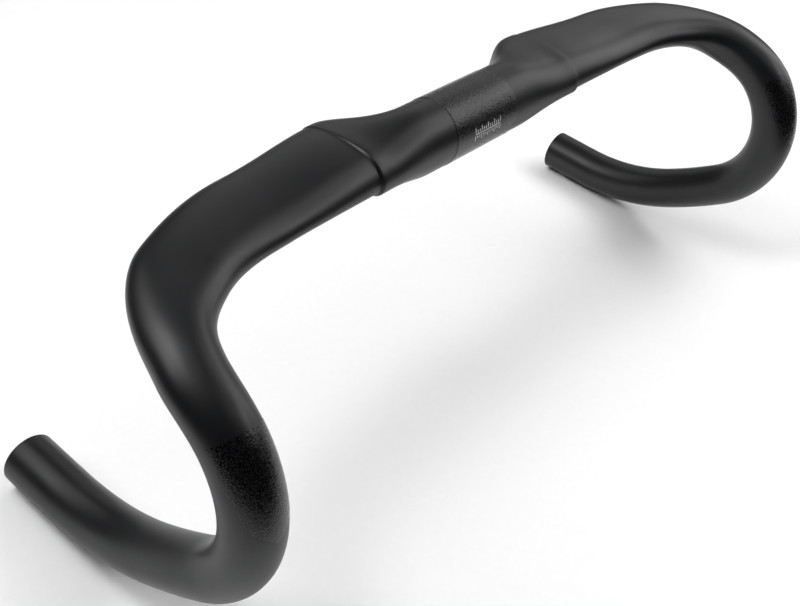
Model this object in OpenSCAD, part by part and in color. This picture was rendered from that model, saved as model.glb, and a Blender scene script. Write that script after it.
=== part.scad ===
// Aero drop handlebar for a road bicycle, moulded in one hollow piece.
// The origin is the middle of the stem seat. X runs along the bar, the rider looks along -Y and Z is up.

/* [Stem seat] */
// Diameter of the rough seat that the stem grips
seat_d = 31.8; // [31:0.1:32.6]
// Width of the rough seat
seat_w = 43; // [40:0.5:48]
// How far the rough coat stands over the bare tube
coat = 0.2; // [0.18:0.02:0.3]
// Distance from the middle to the end of the round tube
round_half = 33; // [30:0.5:36]

/* [Overall] */
// Width between the centres of the two open ends
bar_w = 400; // [380:5:440]
// Diameter of the round tube in the hooks
tube_d = 23.8; // [23:0.1:24.6]
// Bore of the open ends, which takes the end plugs
plug_d = 19.8; // [18.8:0.1:20.6]
// Wall of the wing and its corners
wall = 2.2; // [1.8:0.1:3]

/* [Wing root, beside the shoulder] */
// Distance from the middle to the full width of the wing
shoulder_at = 67; // [63:0.5:69]
// Centreline to the front edge
root_front = 14.2; // [13:0.2:17]
// Centreline to the rear edge
root_rear = 30; // [26:0.2:33]
// Centreline to the upper skin
root_top = 10.2; // [8.6:0.2:11.5]
// Centreline to the lower skin
root_under = 7.2; // [6.4:0.2:9.5]
// How far the middle stands proud of the taped wing
step = 1.3; // [0.8:0.1:1.8]
// Distance from the middle to that step
step_at = 71.5; // [70.5:0.5:76]
// Length over which the step falls
step_run = 1.6; // [1.2:0.2:3]
// Nose-down tilt of the wing section
wing_tilt = 7; // [3:0.5:9]

/* [Wing tip, where the corner starts] */
// Centreline to the front edge
tip_front = 13.8; // [12:0.2:15]
// Centreline to the rear edge
tip_rear = 26; // [22:0.2:28]
// Centreline to the upper skin
tip_top = 7.2; // [6.6:0.2:9]
// Centreline to the lower skin
tip_under = 6.6; // [6:0.2:8.5]
// Forward sweep of the top
top_sweep = 3.2; // [0:0.2:5]
// Length over which that sweep sets in beside the seat
sweep_in = 10; // [6:0.5:14]
// Rise of the top from the seat to the wing
top_rise = 3; // [0:0.2:4]
// Length over which that rise sets in beside the seat
rise_in = 8; // [6:0.5:14]
// Length past the shoulder over which it eases again
rise_out = 20; // [14:0.5:30]

/* [Corner] */
// Length of the gentle first part of the corner
lead_run = 59; // [52:0.5:64]
// Turn of that part in plan
lead_turn = 31.4; // [28:0.2:36]
// Fall of that part
lead_dip = 4.6; // [3:0.2:8]
// Length of the tight second part
tight_run = 24.8; // [23:0.1:30]
// Turn of that part in plan
tight_turn = 43; // [36:0.5:45]
// Fall of that part
tight_dip = 13.4; // [10:0.2:16]
// Length of the dive into the hook, which ends round
dive_run = 28.5; // [26:0.5:34]
// Fall of the dive
dive_dip = 30.4; // [26:0.2:34]
// Slope of the top where the corner begins to fall
crest = 1; // [0:0.1:2]
// Length each way over which the turns and falls blend
soften = 9; // [6:0.5:11]
// Middle of the corner: centreline to the front edge
bend_front = 11.4; // [10.8:0.2:13]
// Middle of the corner: centreline to the rear edge
bend_rear = 24.2; // [20:0.2:26]
// Middle of the corner: centreline to the upper skin
bend_top = 7.4; // [7:0.2:9]
// Middle of the corner: centreline to the lower skin
bend_under = 7.4; // [6.6:0.2:9]
// End of the corner: centreline to the inner side
neck_in = 11; // [10.4:0.1:12.4]
// End of the corner: centreline to the outer side
neck_out = 13.6; // [12:0.1:14.4]
// End of the corner: centreline to the forward face
neck_front = 9.6; // [9.4:0.1:12]
// End of the corner: centreline to the rear face
neck_rear = 13; // [12:0.1:14]

/* [Hook] */
// Outward lean of the hook, top to bottom
flare = 2.1; // [0:0.1:4]
// Radius of the main bend
hook_r = 47.2; // [44:0.2:52]
// Turn of the main bend
hook_turn = 95.2; // [90:0.2:98]
// Radius of the long flat bend that follows
flat_r = 254; // [180:2:300]
// Turn of that bend
flat_turn = 7.6; // [4:0.2:9]
// Radius of the last bend, which brings the end level
tail_r = 118; // [100:1:140]
// Length of the straight open end
end_run = 24.5; // [20:0.5:40]

/* [Lever patch] */
// How far the rough patch stands over the tube
patch_lift = 0.12; // [0.08:0.02:0.2]
// Turn into the main bend at its upper edge
patch_from = 0.5; // [0.5:0.5:6]
// Length from its upper edge to its point, straight along the skin
patch_len = 36; // [33:0.5:40]
// Width across its sides
patch_w = 22.8; // [20:0.2:23]
// Length of its sides
patch_side = 12.5; // [10:0.5:14]
// Length of the slight taper that follows
patch_taper = 15.5; // [12:0.5:17]
// Width where the point begins
patch_waist = 17.6; // [14:0.2:19.6]

/* [Finish] */
// Colour of the bare moulding
bare_colour = "#3b3e41"; // [#3b3e41:dark grey, #1f2123:black]

/* [Hidden] */
$fn = 64;
around = 36;
around_in = 24;
bare_d = seat_d - 2 * coat;
tube_r = tube_d / 2;
end_wall = (tube_d - plug_d) / 2;
lap = 0.5;
shy = 0.03;
path_steps = 200;
close_from = 6;

// Turn in plan of the dive, so that the hook runs straight forward
dive_turn = 90 - top_sweep - lead_turn - tight_turn;
// Turn of the last bend, so that the open end lies level
hook_start = lead_dip + tight_dip + dive_dip - crest;
tail_turn = 180 - hook_start - hook_turn - flat_turn;

function smooth(x) = let (c = min(1, max(0, x))) c * c * (3 - 2 * c);
function total(v) = v * [for (x = v) 1];
// Value at s that eases from one [s, value] pair to the next
function ease(s, pairs) = pairs[0][1] + total([
    for (k = [0 : len(pairs) - 2])
        (pairs[k + 1][1] - pairs[k][1]) * smooth((s - pairs[k][0]) / (pairs[k + 1][0] - pairs[k][0]))
]);

// Stations along the centreline for a top of the given length
function corner_at(top) = top + lead_run + tight_run;
function dive_at(top) = corner_at(top) + dive_run;

// Heading in plan and slope at s, before softening
function heads(top) = [
    [round_half, 0],
    [round_half + sweep_in, top_sweep],
    [top, top_sweep],
    [top + lead_run, top_sweep + lead_turn],
    [corner_at(top), 90 - dive_turn],
    [dive_at(top), 90]
];
function slopes(top) = [
    [round_half, 0],
    [round_half + rise_in, top_rise],
    [shoulder_at + rise_out, top_rise * 0.6],
    [top, crest],
    [top + lead_run / 2, crest],
    [top + lead_run, crest - lead_dip],
    [corner_at(top), crest - lead_dip - tight_dip],
    [dive_at(top), -hook_start]
];
// Mean over a window that closes at both ends of the shaped part
function soft(s, pairs, top) =
    let (h = max(0, min(soften, s - round_half, dive_at(top) - s)))
    total([for (k = [-4 : 4]) lookup(s + h * k / 4, pairs)]) / 9;

function lean(s, top) = flare * smooth((s - top) / (corner_at(top) - top));
// Frame at s: [along, inner or front side, upper or outer face]
function frame(s, top) =
    let (
        h = soft(s, heads(top), top),
        p = soft(s, slopes(top), top),
        l = lean(s, top),
        level = [-sin(h), -cos(h), 0],
        side = level * cos(l) - [0, 0, sin(l)],
        lift = level * sin(l) + [0, 0, cos(l)],
        along = [cos(h), -sin(h), 0] * cos(p) + lift * sin(p)
    )
    [along, side, cross(side, along)];

// Points of the centreline at even steps
function walk(top) =
    let (d = (dive_at(top) - round_half) / path_steps)
    [for (i = 0, at = [round_half, 0, 0]; i <= path_steps;
        at = at + d * frame(round_half + (i + 0.5) * d, top)[0], i = i + 1) at];

// The top is as long as it takes to reach the stated width
hook_down = hook_r * (cos(hook_start) - cos(hook_start + hook_turn))
    + flat_r * (cos(hook_start + hook_turn) - cos(180 - tail_turn))
    + tail_r * (cos(180 - tail_turn) + 1);
top_trial = 130;
top_run = top_trial + (bar_w / 2 - hook_down * sin(flare) - walk(top_trial)[path_steps][0]) / cos(top_sweep);
corner_end = corner_at(top_run);
dive_end = dive_at(top_run);
path = walk(top_run);
path_d = (dive_end - round_half) / path_steps;
function centre(s) =
    let (f = (s - round_half) / path_d, i = min(path_steps - 1, max(0, floor(f))))
    path[i] + (f - i) * (path[i + 1] - path[i]);

// Half sizes of the section at s: front, rear, upper and lower
mid_corner = (top_run + corner_end) / 2;
function stops(a, b, c, d, e, f) =
    [[round_half, a], [shoulder_at, b], [top_run, c], [mid_corner, d], [corner_end, e], [dive_end, f]];
front_sizes = stops(bare_d / 2, root_front, tip_front, bend_front, neck_in, tube_r);
rear_sizes = stops(bare_d / 2, root_rear, tip_rear, bend_rear, neck_out, tube_r);
top_sizes = stops(bare_d / 2, root_top, tip_top, bend_top, neck_front, tube_r);
under_sizes = stops(bare_d / 2, root_under, tip_under, bend_under, neck_rear, tube_r);

// How far the middle part stands proud, most at the front and least at the rear edge
function proud(s, a) =
    step * smooth((s - round_half) / (shoulder_at - round_half))
    * (1 - smooth((s - step_at) / step_run)) * (0.65 + 0.35 * cos(a));
function tilt(s) =
    -wing_tilt * smooth((s - round_half) / (shoulder_at - round_half))
    * (1 - smooth((s - top_run) / (dive_end - top_run)));

// One ring of points, moved in from the skin by inset
function ring(s, count, inset) =
    let (
        f = frame(s, top_run),
        c = centre(s),
        fr = ease(s, front_sizes) - inset,
        re = ease(s, rear_sizes) - inset,
        up = ease(s, top_sizes) - inset,
        lo = ease(s, under_sizes) - inset,
        t = tilt(s)
    )
    [for (k = [0 : count - 1])
        let (
            a = 360 * k / count,
            p = inset > end_wall ? 0 : proud(s, a),
            u = (cos(a) > 0 ? fr : re) * cos(a) + p * cos(a),
            v = (sin(a) > 0 ? up : lo) * sin(a) + p * sin(a)
        )
        c + (u * cos(t) - v * sin(t)) * f[1] + (u * sin(t) + v * cos(t)) * f[2]
    ];

// Even steps from a to b, without b
function steps(a, b, count) = [for (i = [0 : count - 1]) a + (b - a) * i / count];

// The rings stand closer from a little before the tight part
close_at = corner_end - tight_run - close_from;
skin_stations = [
    each steps(round_half, shoulder_at, 9),
    shoulder_at,
    each steps(step_at, step_at + step_run, 2),
    each steps(step_at + step_run, top_run, 5),
    each steps(top_run, close_at, 5),
    each steps(close_at, dive_end, 13),
    dive_end
];
core_stations = [
    each steps(round_half, shoulder_at, 5),
    each steps(shoulder_at, top_run, 3),
    each steps(top_run, close_at, 4),
    each steps(close_at, dive_end, 10),
    dive_end
];

// Skins the rings in order and closes both ends
module loft(rings) {
    n = len(rings[0]);
    last = len(rings) - 1;
    polyhedron(
        points = [for (r = rings) each r],
        faces = [
            [for (k = [n - 1 : -1 : 0]) k],
            [for (k = [0 : n - 1]) last * n + k],
            for (i = [0 : last - 1]) for (k = [0 : n - 1])
                let (a = i * n + k, b = i * n + (k + 1) % n)
                each [[a, b, a + n], [b, b + n, a + n]]
        ]
    );
}

// Shaped part from the round tube to the hook. Its ends lap into the round parts.
module shaped(count, stations, inset) {
    inside = inset + shy;
    first = ring(round_half, count, inside);
    final = ring(dive_end, count, inside);
    along = frame(dive_end, top_run)[0];
    loft([
        [for (p = first) p - [lap, 0, 0]],
        first,
        for (i = [1 : len(stations) - 2]) ring(stations[i], count, inset),
        final,
        [for (p = final) p + lap * along]
    ]);
}

// The hook lies in its own plane, with X up and Y forward. Its bends are [radius, start angle, turn].
bends = [
    [hook_r, hook_start, hook_turn],
    [flat_r, hook_start + hook_turn, flat_turn],
    [tail_r, 180 - tail_turn, tail_turn]
];
function spoke(a) = [cos(a), sin(a), 0];
// Where each bend starts, and where the last one ends
hook_points = [
    for (i = 0, at = [0, 0, 0]; i <= len(bends);
        at = i < len(bends) ? at + bends[i][0] * (spoke(bends[i][1] + bends[i][2]) - spoke(bends[i][1])) : at,
        i = i + 1) at
];
function on_bend(i, a) = hook_points[i] + bends[i][0] * (spoke(a) - spoke(bends[i][1]));

module hook_plane() {
    translate(centre(dive_end))
        rotate([0, -flare, 0])
            rotate(a = 180, v = [1, 0, 1])
                children();
}

// Round ring in the hook's plane, square to the tube at angle a
function hoop(at, a, r, count) = [
    for (k = [0 : count - 1])
        let (t = 360 * k / count)
        at + r * cos(t) * [0, 0, -1] + r * sin(t) * spoke(a)
];

// Main bend, a true torus, less its first part
module main_bend(r, skipped = 0) {
    translate(-hook_r * spoke(hook_start))
        rotate(hook_start + skipped)
            rotate_extrude(angle = hook_turn - skipped)
                translate([hook_r, 0])
                    circle(r);
}

// The two flatter bends, which lap into the main bend and into the straight end
module flat_bends(r, count, flat_steps, tail_steps) {
    from = hook_start + hook_turn;
    level = 180 - tail_turn;
    inner = r - shy;
    loft([
        hoop(on_bend(1, from) - lap * spoke(from + 90), from, inner, count),
        for (a = steps(from, level, flat_steps)) if (a > from) hoop(on_bend(1, a), a, r, count),
        for (a = steps(level, 180, tail_steps)) hoop(on_bend(2, a), a, r, count),
        hoop(hook_points[3] - [0, lap, 0], 180, inner, count)
    ]);
}

// Straight open end, longer than the bar by extra
module open_end(r, extra) {
    translate(hook_points[3])
        rotate([90, 0, 0])
            cylinder(r = r, h = end_run + extra);
}

// Shield of rough coat on the forward face, where the brake lever clamps
module lever_patch() {
    half = patch_len / 2;
    middle = hook_start + patch_from + asin(half / (hook_r + tube_r));
    taper_at = patch_side - half;
    point_at = taper_at + patch_taper;
    hook_plane()
        intersection() {
            main_bend(tube_r + patch_lift, patch_from);
            translate(hook_r * (spoke(middle) - spoke(hook_start)))
                rotate([0, 0, middle])
                    rotate([0, 90, 0])
                        linear_extrude(height = tube_d)
                            polygon([
                                [-patch_w / 2, -patch_len],
                                [patch_w / 2, -patch_len],
                                [patch_w / 2, taper_at],
                                [patch_waist / 2, point_at],
                                [0, half],
                                [-patch_waist / 2, point_at],
                                [-patch_w / 2, taper_at]
                            ]);
        }
}

// Tube along X, centred
module along_x(d, l) {
    rotate([0, 90, 0])
        cylinder(d = d, h = l, center = true);
}

module handlebar() {
    color(bare_colour)
        difference() {
            union() {
                along_x(bare_d, 2 * round_half);
                along_x(seat_d, seat_w);
                for (m = [0, 1]) mirror([m, 0, 0]) {
                    shaped(around, skin_stations, 0);
                    lever_patch();
                    hook_plane() {
                        main_bend(tube_r);
                        flat_bends(tube_r, around, 2, 5);
                        open_end(tube_r, 0);
                    }
                }
            }
            along_x(bare_d - 2 * wall, 2 * round_half);
            for (m = [0, 1]) mirror([m, 0, 0]) {
                shaped(around_in, core_stations, wall);
                hook_plane() {
                    main_bend(plug_d / 2);
                    flat_bends(plug_d / 2, around_in, 2, 4);
                    open_end(plug_d / 2, 1);
                }
            }
        }
}

handlebar();
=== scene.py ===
# Aero drop handlebar: one hollow carbon moulding, its rough coats and its centring marks.
# Lengths in the dictionaries are in millimetres and angles in degrees, as in the part's source.
# Only the studio is in metres.
import bpy
import bmesh
import math
from mathutils import Matrix, Vector


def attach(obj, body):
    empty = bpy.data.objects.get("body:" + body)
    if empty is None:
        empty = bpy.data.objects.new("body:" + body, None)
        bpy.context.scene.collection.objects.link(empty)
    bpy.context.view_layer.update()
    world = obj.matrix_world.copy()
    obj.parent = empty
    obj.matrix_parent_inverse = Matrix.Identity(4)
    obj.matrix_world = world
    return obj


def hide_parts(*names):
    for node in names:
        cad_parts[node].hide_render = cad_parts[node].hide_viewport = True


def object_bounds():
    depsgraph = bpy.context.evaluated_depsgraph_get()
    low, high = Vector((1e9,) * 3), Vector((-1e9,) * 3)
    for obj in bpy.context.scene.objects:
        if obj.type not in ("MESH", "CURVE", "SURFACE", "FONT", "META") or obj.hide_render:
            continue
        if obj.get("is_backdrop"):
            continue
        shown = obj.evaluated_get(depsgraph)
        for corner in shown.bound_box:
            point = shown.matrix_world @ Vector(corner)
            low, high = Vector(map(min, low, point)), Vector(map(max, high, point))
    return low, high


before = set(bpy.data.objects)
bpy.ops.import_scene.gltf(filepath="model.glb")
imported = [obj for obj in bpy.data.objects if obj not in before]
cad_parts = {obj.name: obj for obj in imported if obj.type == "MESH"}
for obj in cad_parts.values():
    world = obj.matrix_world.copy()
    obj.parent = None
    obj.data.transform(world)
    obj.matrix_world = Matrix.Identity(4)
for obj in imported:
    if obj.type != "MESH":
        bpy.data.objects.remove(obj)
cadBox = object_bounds()
mm = 0.001
up = Vector((0, 0, 1))

# Sizes of the centreline and its sections, the same as in the part's source
bar = {
    "seatDiameter": 31.8, "seatWidth": 43, "coat": 0.2, "roundHalf": 33,
    "width": 400, "tubeDiameter": 23.8, "plugDiameter": 19.8, "wall": 2.2,
    "shoulderAt": 67, "rootFront": 14.2, "rootRear": 30, "rootTop": 10.2, "rootUnder": 7.2,
    "step": 1.3, "stepAt": 71.5, "stepRun": 1.6, "stepMean": 0.65, "stepLean": 0.35, "wingTilt": 7,
    "tipFront": 13.8, "tipRear": 26, "tipTop": 7.2, "tipUnder": 6.6,
    "topSweep": 3.2, "sweepIn": 10, "topRise": 3, "riseIn": 8, "riseOut": 20, "riseKept": 0.6,
    "leadRun": 59, "leadTurn": 31.4, "leadDip": 4.6,
    "tightRun": 24.8, "tightTurn": 43, "tightDip": 13.4,
    "diveRun": 28.5, "diveDip": 30.4, "crest": 1, "soften": 9, "softSamples": 4,
    "bendFront": 11.4, "bendRear": 24.2, "bendTop": 7.4, "bendUnder": 7.4,
    "neckIn": 11, "neckOut": 13.6, "neckFront": 9.6, "neckRear": 13,
    "flare": 2.1, "hookRadius": 47.2, "hookTurn": 95.2,
    "flatRadius": 254, "flatTurn": 7.6, "tailRadius": 118, "endRun": 24.5,
    "pathSteps": 200, "trialTop": 130,
}


def sinD(angle):
    return math.sin(math.radians(angle))


def cosD(angle):
    return math.cos(math.radians(angle))


def smoothStep(x):
    c = min(1.0, max(0.0, x))
    return c * c * (3 - 2 * c)


def easeBetween(s, pairs):
    value = pairs[0][1]
    for (fromAt, fromValue), (toAt, toValue) in zip(pairs, pairs[1:]):
        value += (toValue - fromValue) * smoothStep((s - fromAt) / (toAt - fromAt))
    return value


def readTable(s, pairs):
    if s <= pairs[0][0]:
        return pairs[0][1]
    for (fromAt, fromValue), (toAt, toValue) in zip(pairs, pairs[1:]):
        if s <= toAt:
            return fromValue + (toValue - fromValue) * (s - fromAt) / (toAt - fromAt)
    return pairs[-1][1]


hookStart = bar["leadDip"] + bar["tightDip"] + bar["diveDip"] - bar["crest"]
tailTurn = 180 - hookStart - bar["hookTurn"] - bar["flatTurn"]
diveTurn = 90 - bar["topSweep"] - bar["leadTurn"] - bar["tightTurn"]


# distances along the centreline at which the corner's parts start and end
def stationsFor(top):
    lead = top + bar["leadRun"]
    corner = top + bar["leadRun"] + bar["tightRun"]
    return {"top": top, "lead": lead, "corner": corner, "dive": corner + bar["diveRun"]}


def headingTable(at):
    return [
        (bar["roundHalf"], 0), (bar["roundHalf"] + bar["sweepIn"], bar["topSweep"]),
        (at["top"], bar["topSweep"]), (at["lead"], bar["topSweep"] + bar["leadTurn"]),
        (at["corner"], 90 - diveTurn), (at["dive"], 90),
    ]


def slopeTable(at):
    crest = bar["crest"]
    afterLead = crest - bar["leadDip"]
    return [
        (bar["roundHalf"], 0), (bar["roundHalf"] + bar["riseIn"], bar["topRise"]),
        (bar["shoulderAt"] + bar["riseOut"], bar["topRise"] * bar["riseKept"]),
        (at["top"], crest), (at["top"] + bar["leadRun"] / 2, crest), (at["lead"], afterLead),
        (at["corner"], afterLead - bar["tightDip"]), (at["dive"], -hookStart),
    ]


def softMean(s, pairs, at):
    half = max(0, min(bar["soften"], s - bar["roundHalf"], at["dive"] - s))
    n = bar["softSamples"]
    return sum(readTable(s + half * k / n, pairs) for k in range(-n, n + 1)) / (2 * n + 1)


# directions at s on the left half: along the bar, its inner or front side, its upper or outer face
def directionsAt(s, at):
    heading = softMean(s, headingTable(at), at)
    slope = softMean(s, slopeTable(at), at)
    lean = bar["flare"] * smoothStep((s - at["top"]) / (at["corner"] - at["top"]))
    level = Vector((-sinD(heading), -cosD(heading), 0))
    side = level * cosD(lean) - up * sinD(lean)
    lift = level * sinD(lean) + up * cosD(lean)
    along = Vector((cosD(heading), -sinD(heading), 0)) * cosD(slope) + lift * sinD(slope)
    return along, side, side.cross(along)


def walkPath(at):
    stepLength = (at["dive"] - bar["roundHalf"]) / bar["pathSteps"]
    points = [Vector((bar["roundHalf"], 0, 0))]
    for i in range(bar["pathSteps"]):
        along = directionsAt(bar["roundHalf"] + (i + 0.5) * stepLength, at)[0]
        points.append(points[-1] + stepLength * along)
    return points


# the straight top is as long as the stated width needs, found from one trial
hookDown = (
    bar["hookRadius"] * (cosD(hookStart) - cosD(hookStart + bar["hookTurn"]))
    + bar["flatRadius"] * (cosD(hookStart + bar["hookTurn"]) - cosD(180 - tailTurn))
    + bar["tailRadius"] * (cosD(180 - tailTurn) + 1)
)
trialEnd = walkPath(stationsFor(bar["trialTop"]))[-1].x
missing = bar["width"] / 2 - hookDown * sinD(bar["flare"]) - trialEnd
topRun = bar["trialTop"] + missing / cosD(bar["topSweep"])
at = stationsFor(topRun)
path = walkPath(at)
pathStep = (at["dive"] - bar["roundHalf"]) / bar["pathSteps"]
hookBends = [
    (bar["hookRadius"], hookStart, bar["hookTurn"]),
    (bar["flatRadius"], hookStart + bar["hookTurn"], bar["flatTurn"]),
    (bar["tailRadius"], 180 - tailTurn, tailTurn),
]
hookRun = sum(radius * math.radians(turn) for radius, start, turn in hookBends)
barEnd = at["dive"] + hookRun + bar["endRun"]


# outward direction in the hook's plane, which leans out by the flare
def hookSpoke(angle):
    outwards, upright = sinD(bar["flare"]), cosD(bar["flare"])
    return Vector((-cosD(angle) * outwards, -sinD(angle), cosD(angle) * upright))


# the point on the centreline at s and the three directions there, for the left half
def placeAt(s):
    if s <= bar["roundHalf"]:
        return Vector((s, 0, 0)), Vector((1, 0, 0)), Vector((0, -1, 0)), up
    if s <= at["dive"]:
        f = (s - bar["roundHalf"]) / pathStep
        i = min(bar["pathSteps"] - 1, int(f))
        along, side, out = directionsAt(s, at)
        return path[i].lerp(path[i + 1], f - i), along, side, out
    point, rest = path[-1].copy(), s - at["dive"]
    side = Vector((-cosD(bar["flare"]), 0, -sinD(bar["flare"])))
    for radius, start, turn in hookBends:
        angle = start + min(turn, math.degrees(rest / radius))
        point += radius * (hookSpoke(angle) - hookSpoke(start))
        rest -= radius * math.radians(turn)
        out = hookSpoke(angle)
        if rest <= 0:
            return point, out.cross(side), side, out
    return point + out.cross(side) * rest, out.cross(side), side, out


midCorner = (at["top"] + at["corner"]) / 2
sectionKeys = [
    ("front", ["rootFront", "tipFront", "bendFront", "neckIn"]),
    ("rear", ["rootRear", "tipRear", "bendRear", "neckOut"]),
    ("upper", ["rootTop", "tipTop", "bendTop", "neckFront"]),
    ("lower", ["rootUnder", "tipUnder", "bendUnder", "neckRear"]),
]
bareRadius = bar["seatDiameter"] / 2 - bar["coat"]
sections = {}
for sideName, keys in sectionKeys:
    sizes = [bareRadius] + [bar[key] for key in keys] + [bar["tubeDiameter"] / 2]
    places = [bar["roundHalf"], bar["shoulderAt"], at["top"], midCorner, at["corner"], at["dive"]]
    sections[sideName] = list(zip(places, sizes))


# how far the middle stands proud of the taped wing: most at its front, least at its rear edge
def proudAt(reach, grown, c):
    fallen = smoothStep((reach - bar["stepAt"]) / bar["stepRun"])
    return bar["step"] * grown * (1 - fallen) * (bar["stepMean"] + bar["stepLean"] * c)


# a point of the skin at signed s and ring angle: 0 front or inner side, 90 upper or forward face
def skinPoint(s, angle, inset=0.0, raised=0.0):
    reach = abs(s)
    point, along, side, out = placeAt(reach)
    c, d = cosD(angle), sinD(angle)
    across = easeBetween(reach, sections["front" if c > 0 else "rear"]) - inset + raised
    high = easeBetween(reach, sections["upper" if d > 0 else "lower"]) - inset + raised
    grown = smoothStep((reach - bar["roundHalf"]) / (bar["shoulderAt"] - bar["roundHalf"]))
    if inset < bar["wall"]:
        proud = proudAt(reach, grown, c)
        across += proud
        high += proud
    levelled = smoothStep((reach - at["top"]) / (at["dive"] - at["top"]))
    tilt = -bar["wingTilt"] * grown * (1 - levelled)
    u, v = across * c, high * d
    place = point + side * (u * cosD(tilt) - v * sinD(tilt))
    place += out * (u * sinD(tilt) + v * cosD(tilt))
    if s < 0:
        place.x = -place.x
    return place * mm


print("centreline: top %.1f, hook from %.1f, end at %.1f mm" % (topRun, at["dive"], barEnd))

# Mesh of the moulding: how finely it is divided and how sharp its edges are.
# The coat's edge falls in rings of (how far back, in times coatEdge, and share of its height).
shell = {
    "around": 96, "spacing": 2.4, "coreSpacing": 4.8, "stepRings": 10, "roundRings": 4,
    "edgeRound": 0.35, "coreEdge": 0.15, "rim": 0.6, "wallBlend": 20, "slack": 0.01,
    "coatEdge": 0.12, "coatRings": [(3, 1), (1, 1), (0.4, 0.8), (0, 0)], "streakRadius": 12,
}


def evenStations(start, stop, spacing):
    count = max(1, round((stop - start) / spacing))
    return [start + (stop - start) * i / count for i in range(count)]


# stations of the left half's skin as (s, how far in from the skin)
def skinRings():
    seatEnd, edge, spacing = bar["seatWidth"] / 2, shell["coatEdge"], shell["spacing"]
    coatFlat = seatEnd - shell["coatRings"][0][0] * edge
    stepEnd = bar["stepAt"] + bar["stepRun"]
    rings = [(s, -bar["coat"]) for s in evenStations(0, coatFlat, spacing)]
    rings += [(seatEnd - back * edge, -bar["coat"] * share) for back, share in shell["coatRings"]]
    bare = evenStations(seatEnd + edge, bar["stepAt"], spacing)
    bare += evenStations(bar["stepAt"], stepEnd, bar["stepRun"] / shell["stepRings"])
    bare += evenStations(stepEnd, at["dive"], spacing)
    bare += evenStations(at["dive"], barEnd - shell["rim"], spacing)
    rings += [(s, 0.0) for s in bare + [barEnd - shell["rim"]]]
    for i in range(shell["roundRings"] + 1):  # rounded outer edge of the open end
        turn = 90 * i / shell["roundRings"]
        back = shell["edgeRound"] * (1 - sinD(turn))
        rings.append((barEnd - back, shell["edgeRound"] * (1 - cosD(turn))))
    return rings


# stations of the left half's inner face, from the open end to the middle
def coreRings():
    endWall = (bar["tubeDiameter"] - bar["plugDiameter"]) / 2
    edge, spacing = shell["coreEdge"], -shell["coreSpacing"]
    rings = [(barEnd, endWall - edge), (barEnd - edge, endWall)]
    rings += [(s, endWall) for s in evenStations(barEnd - shell["rim"], at["dive"], spacing)]
    for s in evenStations(at["dive"], bar["roundHalf"], spacing):
        thicker = smoothStep((at["dive"] - s) / shell["wallBlend"])
        rings.append((s, endWall + (bar["wall"] - endWall) * thicker))
    rings += [(s, bar["wall"]) for s in evenStations(bar["roundHalf"], 0, spacing)]
    return rings


# round the whole skin from the right end to the left one, then back along the inner face
halfSkin, halfCore = skinRings(), coreRings()
ringList = [(-s, inset, False) for s, inset in reversed(halfSkin[1:])]
ringList += [(s, inset, False) for s, inset in halfSkin]
ringList += [(s, inset, True) for s, inset in halfCore + [(0.0, bar["wall"])]]
ringList += [(-s, inset, True) for s, inset in reversed(halfCore)]

mesh = bmesh.new()
straight = mesh.verts.layers.float_vector.new("straight")
bmesh.ops.create_circle(mesh, cap_ends=False, segments=shell["around"], radius=1)
ringVerts = list(mesh.verts)
ringEdges = list(mesh.edges)
firstEdges = list(ringEdges)
turnOf = {v: math.degrees(math.atan2(v.co.y, v.co.x)) for v in ringVerts}


# puts a ring on the skin, and notes where it would lie on a straight rod, for the streaks
def placeRing(verts, s, inset):
    rod = shell["streakRadius"]
    for v in verts:
        angle = turnOf[v]
        v.co = skinPoint(s, angle, inset)
        v[straight] = Vector((s, rod * cosD(angle), rod * sinD(angle))) * mm


# 0 clear coat, 1 grit on the seat, 2 bare laminate inside and at the rims
def finishBetween(s, lastS, inner):
    near, far = sorted((abs(s), abs(lastS)))
    if inner or near >= barEnd - shell["rim"] - shell["slack"]:
        return 2
    return 1 if far <= bar["seatWidth"] / 2 + shell["slack"] else 0


# each ring is extruded from the last one and put in its place, and the last meets the first
placeRing(ringVerts, ringList[0][0], ringList[0][1])
for number, (s, inset, inner) in enumerate(ringList[1:], 1):
    made = bmesh.ops.extrude_edge_only(mesh, edges=ringEdges)["geom"]
    newVerts = [g for g in made if isinstance(g, bmesh.types.BMVert)]
    newSet = set(newVerts)
    oldSet = set(ringVerts)
    for v in newVerts:
        for edge in v.link_edges:
            other = edge.other_vert(v)
            if other in oldSet:
                turnOf[v] = turnOf[other]
    finish = finishBetween(s, ringList[number - 1][0], inner)
    for g in made:
        if isinstance(g, bmesh.types.BMFace):
            g.material_index = finish
            g.smooth = True
    placeRing(newVerts, s, inset)
    ringVerts = newVerts
    newEdges = [g for g in made if isinstance(g, bmesh.types.BMEdge)]
    ringEdges = [edge for edge in newEdges if all(v in newSet for v in edge.verts)]
for face in bmesh.ops.bridge_loops(mesh, edges=ringEdges + firstEdges)["faces"]:
    face.material_index = 2
    face.smooth = True
bmesh.ops.recalc_face_normals(mesh, faces=mesh.faces)
openEdges = sum(edge.is_boundary for edge in mesh.edges)
print("shell: %d rings, %d faces, open edges %d" % (len(ringList), len(mesh.faces), openEdges))


def newPiece(name, source, materials):
    data = bpy.data.meshes.new(name)
    source.to_mesh(data)
    source.free()
    piece = bpy.data.objects.new(name, data)
    bpy.context.scene.collection.objects.link(piece)
    for material in materials:
        data.materials.append(material)
    return piece


def toLinear(code):
    parts = [int(code[i:i + 2], 16) / 255 for i in (1, 3, 5)]
    linear = [c / 12.92 if c <= 0.04045 else ((c + 0.055) / 1.055) ** 2.4 for c in parts]
    return (*linear, 1.0)


def addNode(tree, kind, inputs=None, **settings):
    node = tree.nodes.new(kind)
    for key, value in settings.items():
        setattr(node, key, value)
    for key, value in (inputs or {}).items():
        if isinstance(value, bpy.types.NodeSocket):
            tree.links.new(value, node.inputs[key])
        else:
            node.inputs[key].default_value = value
    return node


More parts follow.
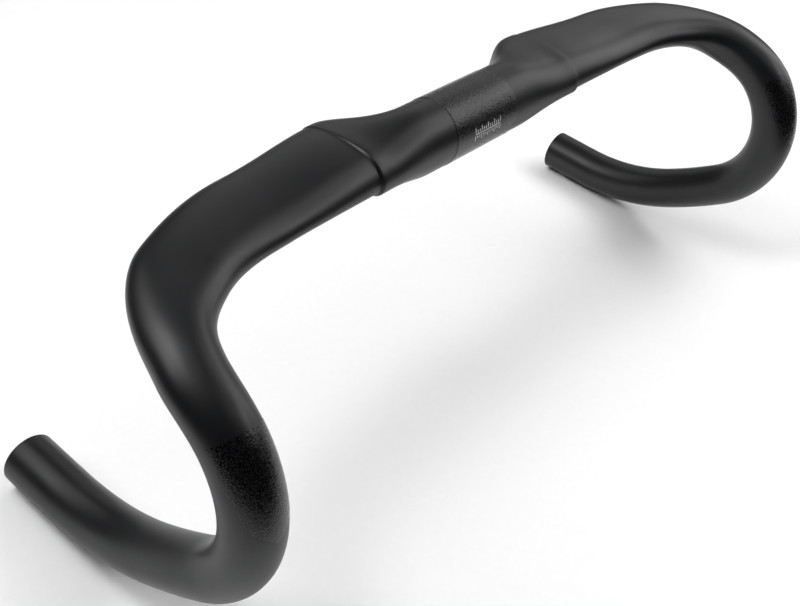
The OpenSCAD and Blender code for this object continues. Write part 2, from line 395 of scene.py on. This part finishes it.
def newMaterial(name):
    material = bpy.data.materials.new(name)
    material.use_nodes = True
    tree = material.node_tree
    tree.nodes.clear()
    return material, tree


def finishMaterial(tree, inputs):
    shader = addNode(tree, "ShaderNodeBsdfPrincipled", inputs)
    addNode(tree, "ShaderNodeOutputMaterial", {"Surface": shader.outputs[0]})


# Finishes: tones, gloss, and how many grains, streaks or wrinkles there are to the millimetre
clearCoat = {
    "dark": "#131416", "light": "#1b1c1f", "streaksPerMm": (0.05, 0.9, 0.9),
    "cloudsPerMm": 0.045, "glossy": 0.36, "dull": 0.41,
    "peelPerMm": 0.7, "peelStrength": 0.12, "peelDepth": 0.06,
}


# Carbon fibre in epoxy, moulded and sprayed with matte clear: deep grey, with soft broad
# highlights and faint streaks of fibre along the bar, about 1 mm across and 20 mm long
def matteClearCarbon():
    material, tree = newMaterial("matteClearCarbon")
    straightPlace = addNode(tree, "ShaderNodeAttribute", attribute_name="straight")
    stretched = addNode(tree, "ShaderNodeMapping", {
        "Vector": straightPlace.outputs["Vector"],
        "Scale": [count / mm for count in clearCoat["streaksPerMm"]],
    })
    streaks = addNode(tree, "ShaderNodeTexNoise", {
        "Vector": stretched.outputs[0], "Scale": 1.0, "Detail": 3.0,
    })
    tone = addNode(tree, "ShaderNodeMix", {
        "Factor": streaks.outputs[0],
        "A": toLinear(clearCoat["dark"]), "B": toLinear(clearCoat["light"]),
    }, data_type="RGBA")
    where = addNode(tree, "ShaderNodeTexCoord").outputs["Object"]
    clouds = addNode(tree, "ShaderNodeTexNoise", {
        "Vector": where, "Scale": clearCoat["cloudsPerMm"] / mm, "Detail": 2.0,
    })
    rough = addNode(tree, "ShaderNodeMapRange", {
        "Value": clouds.outputs[0], "From Min": 0.3, "From Max": 0.7,
        "To Min": clearCoat["glossy"], "To Max": clearCoat["dull"],
    })
    peel = addNode(tree, "ShaderNodeTexNoise", {
        "Vector": where, "Scale": clearCoat["peelPerMm"] / mm, "Detail": 2.0,
    })
    bump = addNode(tree, "ShaderNodeBump", {
        "Height": peel.outputs[0], "Strength": clearCoat["peelStrength"],
        "Distance": clearCoat["peelDepth"] * mm,
    })
    finishMaterial(tree, {
        "Base Color": tone.outputs["Result"], "Roughness": rough.outputs[0],
        "IOR": 1.5, "Normal": bump.outputs[0],
    })
    return material


gritCoat = {
    "dark": "#020203", "light": "#1d1e21", "grainsPerMm": 1.8, "low": 0.36, "high": 0.64,
    "glossy": 0.12, "dull": 0.32, "grainStrength": 0.7, "grainDepth": 0.08,
}


# Clear lacquer with fine grit over black: glossy, broken into glints by its grains.
# Real grit is about 0.2 mm across and is drawn at about 0.5 mm, so that it shows from a step away.
def gritLacquer():
    material, tree = newMaterial("gritLacquer")
    noise = addNode(tree, "ShaderNodeTexNoise", {
        "Vector": addNode(tree, "ShaderNodeTexCoord").outputs["Object"],
        "Scale": gritCoat["grainsPerMm"] / mm, "Detail": 1.0,
    })
    grains = addNode(tree, "ShaderNodeMapRange", {
        "Value": noise.outputs[0], "From Min": gritCoat["low"], "From Max": gritCoat["high"],
    }).outputs[0]
    tone = addNode(tree, "ShaderNodeMix", {
        "Factor": grains, "A": toLinear(gritCoat["dark"]), "B": toLinear(gritCoat["light"]),
    }, data_type="RGBA")
    rough = addNode(tree, "ShaderNodeMapRange", {
        "Value": grains, "To Min": gritCoat["glossy"], "To Max": gritCoat["dull"],
    })
    bump = addNode(tree, "ShaderNodeBump", {
        "Height": grains, "Strength": gritCoat["grainStrength"],
        "Distance": gritCoat["grainDepth"] * mm,
    })
    finishMaterial(tree, {
        "Base Color": tone.outputs["Result"], "Roughness": rough.outputs[0],
        "IOR": 1.5, "Normal": bump.outputs[0],
    })
    return material


insideFace = {
    "dark": "#0b0c0d", "light": "#17181a", "roughness": 0.55,
    "wrinklesPerMm": 0.16, "wrinkleStrength": 0.4, "wrinkleDepth": 0.4,
}


# Bare carbon laminate as it leaves the bladder, also the sawn end: almost black and dull,
# with slight wrinkles about 6 mm apart
def bareLaminate():
    material, tree = newMaterial("bareLaminate")
    wrinkles = addNode(tree, "ShaderNodeTexNoise", {
        "Vector": addNode(tree, "ShaderNodeTexCoord").outputs["Object"],
        "Scale": insideFace["wrinklesPerMm"] / mm, "Detail": 4.0,
    }).outputs[0]
    tone = addNode(tree, "ShaderNodeMix", {
        "Factor": wrinkles,
        "A": toLinear(insideFace["dark"]), "B": toLinear(insideFace["light"]),
    }, data_type="RGBA")
    bump = addNode(tree, "ShaderNodeBump", {
        "Height": wrinkles, "Strength": insideFace["wrinkleStrength"],
        "Distance": insideFace["wrinkleDepth"] * mm,
    })
    finishMaterial(tree, {
        "Base Color": tone.outputs["Result"], "Roughness": insideFace["roughness"],
        "IOR": 1.5, "Normal": bump.outputs[0],
    })
    return material


inkCoat = {"worn": "#c9cbcd", "full": "#fbfbfb", "wearPerMm": 1.5, "roughness": 0.5}


# White ink, screen printed: thin, matte, a little worn through by the grit below
def screenInk():
    material, tree = newMaterial("screenInk")
    wear = addNode(tree, "ShaderNodeTexNoise", {
        "Vector": addNode(tree, "ShaderNodeTexCoord").outputs["Object"],
        "Scale": inkCoat["wearPerMm"] / mm, "Detail": 2.0,
    })
    tone = addNode(tree, "ShaderNodeMix", {
        "Factor": wear.outputs[0],
        "A": toLinear(inkCoat["worn"]), "B": toLinear(inkCoat["full"]),
    }, data_type="RGBA")
    finishMaterial(tree, {
        "Base Color": tone.outputs["Result"], "Roughness": inkCoat["roughness"], "IOR": 1.5,
    })
    return material


carbon, grit, laminate, ink = matteClearCarbon(), gritLacquer(), bareLaminate(), screenInk()
handlebarShell = newPiece("handlebarShell", mesh, [carbon, grit, laminate])
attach(handlebarShell, "root")
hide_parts("handlebar")

# Rough shields under the brake levers: straight sides, a taper, then a point
shield = {
    "from": 233.0, "length": 34.0, "sides": 14.0, "taperTo": 28.0, "halfTurn": 73.0,
    "waistTurn": 48.0, "lift": 0.12, "sunk": 0.08, "cells": (56, 60), "cutReach": 0.001,
    "sharpFrom": 0.7,  # radians between two faces
}


# cuts the flat sheet to the shield's outline, both sides of its middle
def cutToOutline(sheet):
    sides = (shield["sides"], shield["halfTurn"])
    waist = (shield["taperTo"], shield["waistTurn"])
    corners = [sides, waist, (shield["length"], 0)]
    for (x0, y0), (x1, y1) in zip(corners, corners[1:]):
        for mirrored in (1, -1):
            outward = Vector((y0 - y1, (x1 - x0) * mirrored, 0))
            bmesh.ops.bisect_plane(
                sheet, geom=sheet.verts[:] + sheet.edges[:] + sheet.faces[:],
                dist=shield["cutReach"], plane_co=(x0, y0 * mirrored, 0), plane_no=outward,
                clear_outer=True)


def leverShield(name, sign):
    sheet = bmesh.new()
    cellsAlong, cellsAround = shield["cells"]
    bmesh.ops.create_grid(sheet, x_segments=cellsAlong, y_segments=cellsAround, size=1)
    halfLength = shield["length"] / 2
    for v in sheet.verts:  # length along x from 0, ring angle from the middle along y
        v.co.x = (v.co.x + 1) * halfLength
        v.co.y *= shield["halfTurn"]
    cutToOutline(sheet)
    for v in sheet.verts:
        s, angle = shield["from"] + v.co.x, 90 + v.co.y
        v.co = skinPoint(sign * s, angle, raised=shield["lift"])
    sheet.normal_update()
    middle = placeAt(shield["from"] + halfLength)[0] * mm
    middle.x *= sign
    probe = max(sheet.faces, key=lambda f: f.calc_area())
    if probe.normal.dot(probe.calc_center_median() - middle) < 0:
        bmesh.ops.reverse_faces(sheet, faces=sheet.faces)
        sheet.normal_update()
    thickness = (shield["lift"] + shield["sunk"]) * mm
    bmesh.ops.solidify(sheet, geom=sheet.faces[:], thickness=thickness)
    bmesh.ops.recalc_face_normals(sheet, faces=sheet.faces)
    for face in sheet.faces:
        face.smooth = True
    for edge in sheet.edges:
        if edge.calc_face_angle(0) > shield["sharpFrom"]:
            edge.smooth = False
    piece = newPiece(name, sheet, [grit])
    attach(piece, "root")
    return piece


leverShieldLeft = leverShield("leverShieldLeft", 1)
leverShieldRight = leverShield("leverShieldRight", -1)
print("lever shields: %d faces each" % len(leverShieldLeft.data.polygons))

# Centring marks on the seat: a rule along the bar, with ticks on both sides
marks = {
    "halfWidth": 9.0, "ruleTurn": 8.0, "ruleHeight": 0.5, "pitch": 1.5, "tickWidth": 0.5,
    "short": 1.3, "long": 2.4, "longEvery": 3, "gap": 0.5, "lift": 0.03, "sunk": 0.05,
    "cellAlong": 1.5, "cellTurn": 3,
}


def inkBar(sheet, fromS, toS, fromTurn, toTurn):
    cellsAlong = max(1, round((toS - fromS) / marks["cellAlong"]))
    cellsAround = max(1, round(abs(toTurn - fromTurn) / marks["cellTurn"]))
    made = bmesh.ops.create_grid(sheet, x_segments=cellsAlong, y_segments=cellsAround, size=1)
    for v in made["verts"]:
        s = fromS + (v.co.x + 1) / 2 * (toS - fromS)
        angle = fromTurn + (v.co.y + 1) / 2 * (toTurn - fromTurn)
        v.co = skinPoint(s, angle, inset=-bar["coat"] - marks["lift"])


def centringMarks():
    sheet = bmesh.new()
    perTurn = math.radians(1) * bar["seatDiameter"] / 2
    rule, ruleHalf = marks["ruleTurn"], marks["ruleHeight"] / 2 / perTurn
    inkBar(sheet, -marks["halfWidth"], marks["halfWidth"], rule - ruleHalf, rule + ruleHalf)
    count = round(marks["halfWidth"] / marks["pitch"])
    for k in range(-count, count + 1):
        tall = marks["long"] if k % marks["longEvery"] == 0 else marks["short"]
        near = (marks["ruleHeight"] / 2 + marks["gap"]) / perTurn
        far = near + tall / perTurn
        middle, half = k * marks["pitch"], marks["tickWidth"] / 2
        for way in (1, -1):
            low, high = sorted((rule + way * near, rule + way * far))
            inkBar(sheet, middle - half, middle + half, low, high)
    sheet.normal_update()
    for face in sheet.faces:
        fromAxis = face.calc_center_median() * Vector((0, 1, 1))
        if face.normal.dot(fromAxis) < 0:
            face.normal_flip()
    thickness = (marks["lift"] + marks["sunk"]) * mm
    bmesh.ops.solidify(sheet, geom=sheet.faces[:], thickness=thickness)
    bmesh.ops.recalc_face_normals(sheet, faces=sheet.faces)
    piece = newPiece("centringMarks", sheet, [ink])
    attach(piece, "root")
    return piece


seatMarks = centringMarks()
print("centring marks: %d faces" % len(seatMarks.data.polygons))

# Floor, lights and world, in metres.
# Each softbox: azimuth and elevation seen from the bar, width, height, radiance.
studio = {
    "floorAt": -0.1326, "floorMiddle": (0.45, 0.5), "floorSize": (1.9, 1.6),
    "paperDark": "#f0f0f1", "paperLight": "#f4f4f5", "fibresPerMm": 0.3,
    "worldColour": "#f4f6fa", "worldStrength": 0.02, "distance": 1.2,
    "softboxes": {
        "keyLeft": (-45, 35, 0.45, 0.42, 3.4), "keyRight": (-15, 35, 0.45, 0.42, 2.8),
        "keyLow": (-15, 12, 0.45, 0.42, 2.3), "keyHigh": (-15, 58, 0.45, 0.42, 1.45),
        "keySide": (-75, 58, 0.45, 0.42, 0.7), "sideFill": (40, 24, 1.1, 0.7, 0.66),
        "rearLow": (150, 40, 0.35, 0.35, 6.0), "rearHigh": (150, 60, 0.35, 0.35, 5.2),
        "rearMiddle": (125, 40, 0.35, 0.35, 1.5), "rearRight": (100, 40, 0.35, 0.35, 2.0),
        "overhead": (120, 80, 0.4, 0.4, 1.35), "farSide": (8, 26, 0.4, 0.35, 1.3),
    },
    "bendAt": (-0.27, 0.17, 0.37), "bendTarget": (-0.19, -0.06, 0),
    "bendSize": 0.14, "bendRadiance": 5.5,
    "washAt": (0.2, 0.1, 2.0), "washTarget": (0.2, 0.1, 0), "washSize": 3.0,
    "washRadiance": 5.0 / 9,
}


def paleFloor():
    sheet = bmesh.new()
    bmesh.ops.create_grid(sheet, x_segments=1, y_segments=1, size=0.5)
    bmesh.ops.scale(sheet, verts=sheet.verts, vec=(*studio["floorSize"], 1))
    middle = (*studio["floorMiddle"], studio["floorAt"])
    bmesh.ops.translate(sheet, verts=sheet.verts, vec=middle)
    material, tree = newMaterial("mattePaper")  # a roll of white paper: even, without gloss
    fibres = addNode(tree, "ShaderNodeTexNoise", {
        "Vector": addNode(tree, "ShaderNodeTexCoord").outputs["Object"],
        "Scale": studio["fibresPerMm"] / mm, "Detail": 3.0,
    })
    tone = addNode(tree, "ShaderNodeMix", {
        "Factor": fibres.outputs[0],
        "A": toLinear(studio["paperDark"]), "B": toLinear(studio["paperLight"]),
    }, data_type="RGBA")
    finishMaterial(tree, {
        "Base Color": tone.outputs["Result"], "Roughness": 0.9, "IOR": 1.45,
    })
    piece = newPiece("paleFloor", sheet, [material])
    piece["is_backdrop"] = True
    return piece


# soft rectangle of even radiance, turned to its target and unseen by the camera
def softbox(name, place, target, width, height, radiance):
    light = bpy.data.lights.new(name, "AREA")
    light.shape = "RECTANGLE"
    light.size, light.size_y = width, height
    light.energy = math.pi * width * height * radiance
    lamp = bpy.data.objects.new(name, light)
    lamp.location = place
    lamp.rotation_euler = (Vector(place) - Vector(target)).to_track_quat("Z", "Y").to_euler()
    lamp.visible_camera = False
    bpy.context.scene.collection.objects.link(lamp)
    return lamp


def softWorld():
    world = bpy.data.worlds.new("softWorld")
    bpy.context.scene.world = world
    world.use_nodes = True
    tree = world.node_tree
    tree.nodes.clear()
    back = addNode(tree, "ShaderNodeBackground", {
        "Color": toLinear(studio["worldColour"]), "Strength": studio["worldStrength"],
    })
    addNode(tree, "ShaderNodeOutputWorld", {"Surface": back.outputs[0]})


def studioLights(floor):
    for name, (azimuth, elevation, width, height, radiance) in studio["softboxes"].items():
        level = cosD(elevation)
        spoke = Vector((cosD(azimuth) * level, sinD(azimuth) * level, sinD(elevation)))
        softbox(name, spoke * studio["distance"], (0, 0, 0), width, height, radiance)
    size = studio["bendSize"]
    softbox("bendLight", studio["bendAt"], studio["bendTarget"], size, size,
            studio["bendRadiance"])
    # a wash that lights the floor alone, so that the floor stays white
    size = studio["washSize"]
    wash = softbox("floorLight", studio["washAt"], studio["washTarget"], size, size,
                   studio["washRadiance"])
    floorOnly = bpy.data.collections.new("floorOnly")
    floorOnly.objects.link(floor)
    wash.light_linking.receiver_collection = floorOnly


floor = paleFloor()
softWorld()
studioLights(floor)

# The photograph's view. Focal length and image width are in pixels, the sensor in millimetres.
view = {
    "azimuth": -55.820, "elevation": 39.867, "roll": 10.619, "distance": 543.56,
    "target": (-14.94, 3.33, -104.66), "focal": 1076.74, "imageWidth": 800, "sensor": 36,
    "nearest": 0.01,  # metres
}


def photoCamera():
    a, e, r = view["azimuth"], view["elevation"], view["roll"]
    back = Vector((sinD(a) * cosD(e), -cosD(a) * cosD(e), sinD(e)))
    right = Vector((cosD(a), sinD(a), 0))
    upward = back.cross(right)
    xAxis = right * cosD(r) + upward * sinD(r)
    yAxis = upward * cosD(r) - right * sinD(r)
    place = (Vector(view["target"]) + back * view["distance"]) * mm
    lens = bpy.data.cameras.new("photoCamera")
    lens.sensor_width = view["sensor"]
    lens.lens = view["focal"] * view["sensor"] / view["imageWidth"]
    lens.clip_start = view["nearest"]
    camera = bpy.data.objects.new("photoCamera", lens)
    camera.matrix_world = Matrix((
        (xAxis.x, yAxis.x, back.x, place.x), (xAxis.y, yAxis.y, back.y, place.y),
        (xAxis.z, yAxis.z, back.z, place.z), (0, 0, 0, 1)))
    bpy.context.scene.collection.objects.link(camera)
    bpy.context.scene.camera = camera


photoCamera()
bpy.context.scene.view_settings.view_transform = "Standard"
print("stage and camera set")

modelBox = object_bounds()
sizes = {"cad": [list(corner) for corner in cadBox], "model": [list(corner) for corner in modelBox]}
